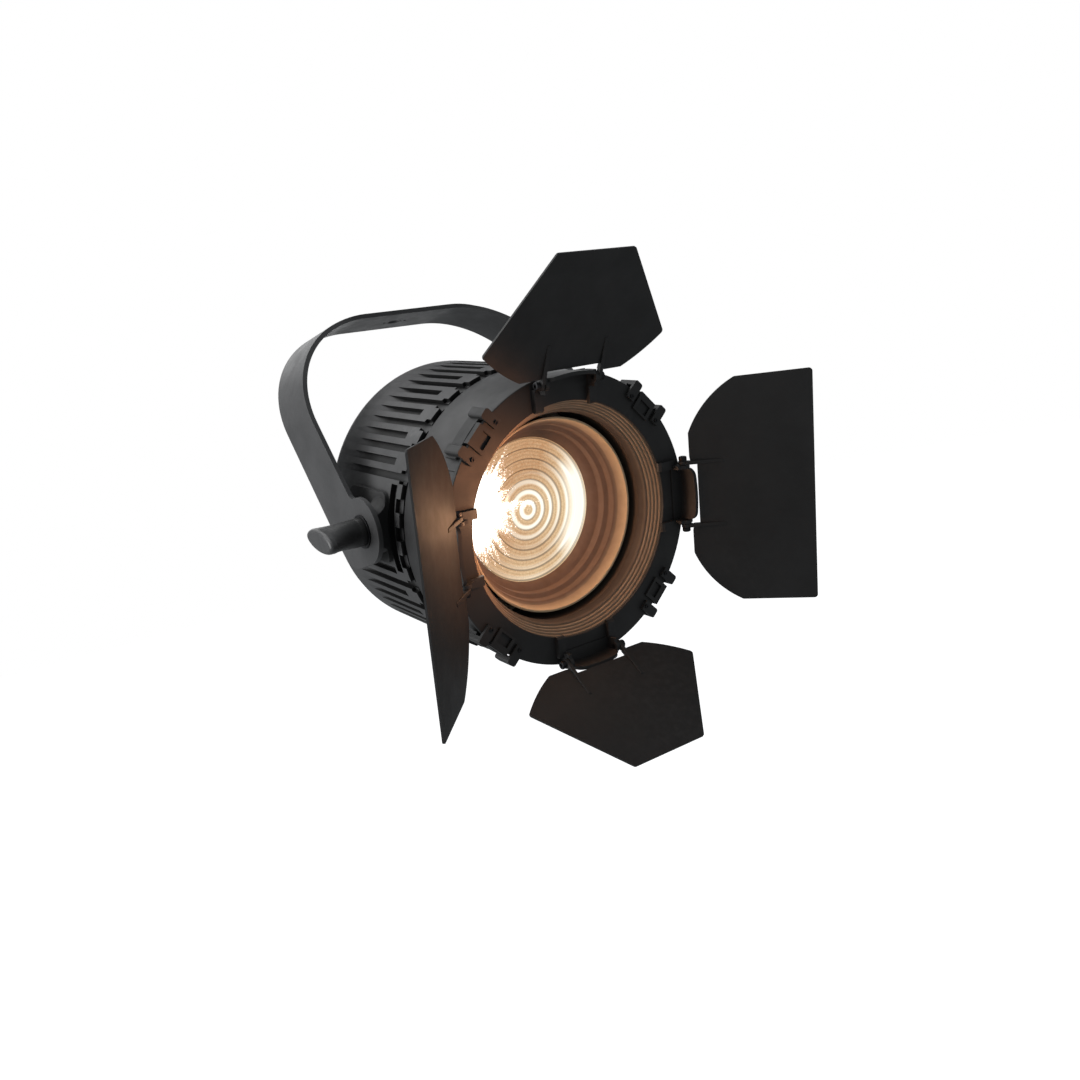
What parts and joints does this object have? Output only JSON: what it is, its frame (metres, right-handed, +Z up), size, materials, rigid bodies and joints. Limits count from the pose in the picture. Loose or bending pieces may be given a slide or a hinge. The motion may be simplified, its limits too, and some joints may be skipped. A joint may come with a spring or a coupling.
{
  "type": "fresnel spotlight",
  "caption": "Studio fresnel spotlight with a ribbed housing, a bent strap yoke, hinged barn-door leaves, a focusing lens carriage and a rear control panel.",
  "frame": {"origin": "centre of the hanging hole on the yoke's top face", "axes": "+Z up along the hanging hole, -Y the way the lamp points, +X the lamp's right side seen from the front"},
  "size_m": [0.2894, 0.2686, 0.3089],
  "materials": {
    "strap_metal": "satin powder coat",
    "housing_metal": "satin powder coat",
    "black_metal": "matt black",
    "lens_tube_metal": "matt black, lit from inside",
    "screw_steel": "plain",
    "black_steel": "black oxide",
    "rod_steel": "ground",
    "sink_aluminium": "plain extruded",
    "reflector_aluminium": "bright",
    "bush_brass": "turned",
    "handle_plastic": "fine grain",
    "panel_plastic": "matt",
    "switch_plastic": "gloss",
    "fibre": "fibre board",
    "board": "white solder mask",
    "driver_green": "green solder mask",
    "component_black": "matt",
    "emitter": "phosphor",
    "lens_glass": "stippled back"
  },
  "bodies": {
    "yoke": {"yoke": "strap_metal", "pivot_bolt": "black_steel", "pivot_washer": "screw_steel", "tilt_washer": "black_steel", "friction_disc_left": "fibre", "friction_disc_right": "fibre"},
    "tilt_lock": {"tilt_handle": "handle_plastic", "tilt_stud": "screw_steel"},
    "head": {"pivot_bracket_left": "strap_metal", "pivot_bracket_right": "strap_metal", "rear_housing": "housing_metal", "rear_cover": "housing_metal", "cover_screws": "black_steel", "barrel_upper_shell": "strap_metal", "barrel_lower_shell": "strap_metal", "collar_ring": "black_metal", "front_bezel": "black_metal", "baffle_sleeve": "black_metal", "front_frame": "black_metal", "guide_rods": "rod_steel", "heat_sink": "sink_aluminium", "led_board": "board", "led_emitter": "emitter", "led_reflector": "reflector_aluminium", "driver_board": "driver_green", "driver_parts": "component_black", "power_inlet": "panel_plastic", "inlet_pins": "rod_steel", "switch_frame": "panel_plastic", "dimmer_pot": "screw_steel", "ring_clip_1": "black_steel", "ring_clip_2": "black_steel", "ring_clip_3": "black_steel", "ring_clip_4": "black_steel", "clip_screws": "black_steel"},
    "lens_carriage": {"lens_tube": "lens_tube_metal", "fresnel_lens": "lens_glass", "lens_retainer": "black_steel", "carriage_plate": "black_metal", "carriage_bushes": "bush_brass", "focus_nut": "bush_brass"},
    "focus_drive": {"focus_screw": "rod_steel", "focus_knob": "panel_plastic"},
    "dimmer": {"dimmer_knob": "panel_plastic", "dimmer_shaft": "rod_steel"},
    "rocker": {"switch_rocker": "switch_plastic"},
    "barndoor_ring": {"door_ring": "black_metal", "hinge_screws": "black_steel", "hinge_bracket_right": "black_metal", "hinge_bracket_top": "black_metal", "hinge_bracket_left": "black_metal", "hinge_bracket_bottom": "black_metal"},
    "leaf_right": {"leaf_right": "black_metal", "leaf_arms_right": "black_metal"},
    "leaf_top": {"leaf_top": "black_metal", "leaf_arms_top": "black_metal"},
    "leaf_left": {"leaf_left": "black_metal", "leaf_arms_left": "black_metal"},
    "leaf_bottom": {"leaf_bottom": "black_metal", "leaf_arms_bottom": "black_metal"}
  },
  "joints": [
    {"name": "head_tilt", "type": "hinge", "parent": "yoke", "child": "head", "pos_m": [0, -0.0959, -0.14437], "axis": [-1, 0, 0], "range_deg": [-75, 45]},
    {"name": "tilt_lock_turn", "type": "hinge", "parent": "yoke", "child": "tilt_lock", "pos_m": [0, -0.0959, -0.14437], "axis": [1, 0, 0], "range_deg": [-90, 0]},
    {"name": "lens_focus", "type": "slide", "parent": "head", "child": "lens_carriage", "axis": [0, -0.9724, -0.2334], "range_m": [-0.034, 0]},
    {"name": "focus_turn", "type": "hinge", "parent": "head", "child": "focus_drive", "pos_m": [0, 0.00013, -0.19741], "axis": [0, -0.9724, -0.2334], "range_deg": [-1530, 0]},
    {"name": "dimmer_turn", "type": "hinge", "parent": "head", "child": "dimmer", "pos_m": [0, -0.0106, -0.15268], "axis": [0, 0.9724, 0.2334], "range_deg": [-135, 135]},
    {"name": "rocker_press", "type": "hinge", "parent": "head", "child": "rocker", "pos_m": [0.034, -0.01274, -0.1532], "axis": [0, -0.2334, 0.9724], "range_deg": [-14, 0]},
    {"name": "barndoor_turn", "type": "hinge", "parent": "head", "child": "barndoor_ring", "pos_m": [0, -0.16451, -0.16701], "axis": [0, -0.9724, -0.2334], "range_deg": [-15, 15]},
    {"name": "leaf_right_hinge", "type": "hinge", "parent": "barndoor_ring", "child": "leaf_right", "pos_m": [0.085, -0.17151, -0.16869], "axis": [0, 0.2334, -0.9724], "range_deg": [-72, 88]},
    {"name": "leaf_top_hinge", "type": "hinge", "parent": "barndoor_ring", "child": "leaf_top", "pos_m": [0, -0.19136, -0.08604], "axis": [1, 0, 0], "range_deg": [-56, 104]},
    {"name": "leaf_left_hinge", "type": "hinge", "parent": "barndoor_ring", "child": "leaf_left", "pos_m": [-0.085, -0.17151, -0.16869], "axis": [0, -0.2334, 0.9724], "range_deg": [-76, 84]},
    {"name": "leaf_bottom_hinge", "type": "hinge", "parent": "barndoor_ring", "child": "leaf_bottom", "pos_m": [0, -0.15167, -0.25134], "axis": [-1, 0, 0], "range_deg": [-87.5, 72.5]}
  ],
  "couplings": [
    {"joint": "focus_turn", "follows": "lens_focus", "rad_per_m": 785.4}
  ]
}
